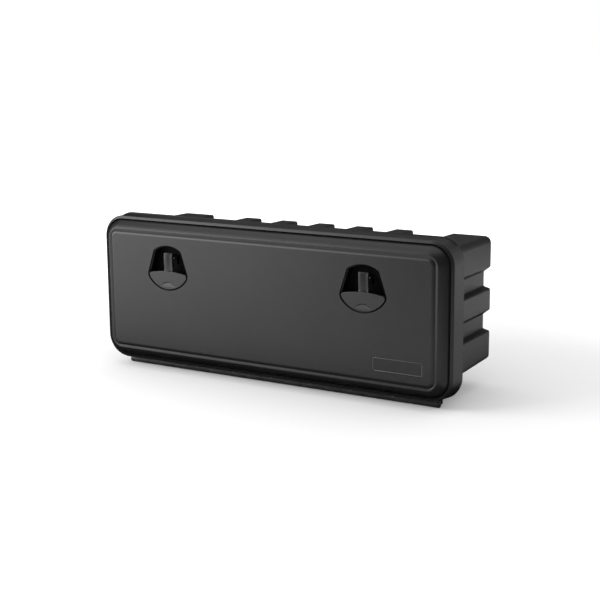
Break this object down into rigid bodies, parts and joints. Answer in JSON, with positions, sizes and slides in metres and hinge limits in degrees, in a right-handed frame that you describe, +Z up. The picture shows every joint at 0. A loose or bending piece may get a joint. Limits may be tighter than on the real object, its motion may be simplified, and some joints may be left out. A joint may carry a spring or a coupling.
{
  "type": "tool box",
  "caption": "Black moulded side-mount tool box with a full-width drop-down front lid, plectrum-shaped pull latches and ribbed body.",
  "frame": {"origin": "centre of the footprint, on the plane the foot rails and the hinge barrel stand on", "axes": "+X right along the box as seen from the front, +Y from the lid to the rear wall, +Z up"},
  "size_m": [0.75, 0.238, 0.2983],
  "materials": {
    "shell_plastic": "fine-grained moulded black polypropylene",
    "latch_plastic": "satin moulded black nylon",
    "badge_plastic": "satin black, bare",
    "seal_rubber": "matt black rubber",
    "hinge_steel": "black powder-coated steel",
    "bare_steel": "zinc-plated steel"
  },
  "bodies": {
    "body": {"body_shell": "shell_plastic", "strike_plate_left": "bare_steel", "strike_plate_right": "bare_steel", "strike_rivet_1": "bare_steel", "strike_rivet_2": "bare_steel", "strike_rivet_3": "bare_steel", "strike_rivet_4": "bare_steel", "body_hinge_leaf": "hinge_steel", "hinge_pin": "bare_steel", "body_hinge_rivet_1": "bare_steel", "body_hinge_rivet_2": "bare_steel", "body_hinge_rivet_3": "bare_steel", "body_hinge_rivet_4": "bare_steel", "body_hinge_rivet_5": "bare_steel", "body_hinge_rivet_6": "bare_steel", "body_hinge_rivet_7": "bare_steel"},
    "lid": {"lid_shell": "shell_plastic", "lid_seal": "seal_rubber", "badge_plate": "badge_plastic", "lid_hinge_leaf": "hinge_steel", "lid_hinge_rivet_1": "bare_steel", "lid_hinge_rivet_2": "bare_steel", "lid_hinge_rivet_3": "bare_steel", "lid_hinge_rivet_4": "bare_steel", "lid_hinge_rivet_5": "bare_steel", "lid_hinge_rivet_6": "bare_steel", "lid_hinge_rivet_7": "bare_steel", "latch_gasket_left": "seal_rubber", "latch_housing_left": "latch_plastic", "bolt_guide_left": "latch_plastic", "return_spring_left": "bare_steel", "housing_screw_left_1": "bare_steel", "housing_screw_left_2": "bare_steel", "housing_screw_left_3": "bare_steel", "housing_screw_left_4": "bare_steel", "guide_screw_left_1": "bare_steel", "guide_screw_left_2": "bare_steel", "guide_screw_left_3": "bare_steel", "guide_screw_left_4": "bare_steel", "latch_gasket_right": "seal_rubber", "latch_housing_right": "latch_plastic", "bolt_guide_right": "latch_plastic", "return_spring_right": "bare_steel", "housing_screw_right_1": "bare_steel", "housing_screw_right_2": "bare_steel", "housing_screw_right_3": "bare_steel", "housing_screw_right_4": "bare_steel", "guide_screw_right_1": "bare_steel", "guide_screw_right_2": "bare_steel", "guide_screw_right_3": "bare_steel", "guide_screw_right_4": "bare_steel"},
    "left_handle": {"latch_handle_left": "latch_plastic", "pivot_pin_left": "bare_steel"},
    "left_bolt": {"latch_bolt_left": "bare_steel"},
    "right_handle": {"latch_handle_right": "latch_plastic", "pivot_pin_right": "bare_steel"},
    "right_bolt": {"latch_bolt_right": "bare_steel"}
  },
  "joints": [
    {"name": "lid_hinge", "type": "hinge", "parent": "body", "child": "lid", "pos_m": [0, -0.074, 0.0065], "axis": [1, 0, 0], "range_deg": [0, 165]},
    {"name": "left_handle_pull", "type": "hinge", "parent": "lid", "child": "left_handle", "pos_m": [-0.2096, -0.1105, 0.225], "axis": [-1, 0, 0], "range_deg": [0, 30], "stiffness_Nm_per_rad": 0.3, "springref_deg": -20.05},
    {"name": "left_bolt_slide", "type": "slide", "parent": "lid", "child": "left_bolt", "axis": [0, 0, -1], "range_m": [0, 0.0155], "deforming": ["return_spring_left"]},
    {"name": "right_handle_pull", "type": "hinge", "parent": "lid", "child": "right_handle", "pos_m": [0.2096, -0.1105, 0.225], "axis": [-1, 0, 0], "range_deg": [0, 30], "stiffness_Nm_per_rad": 0.3, "springref_deg": -20.05},
    {"name": "right_bolt_slide", "type": "slide", "parent": "lid", "child": "right_bolt", "axis": [0, 0, -1], "range_m": [0, 0.0155], "deforming": ["return_spring_right"]}
  ],
  "couplings": [
    {"joint": "left_bolt_slide", "follows": "left_handle_pull", "m_per_rad": 0.0295},
    {"joint": "right_bolt_slide", "follows": "right_handle_pull", "m_per_rad": 0.0295}
  ]
}
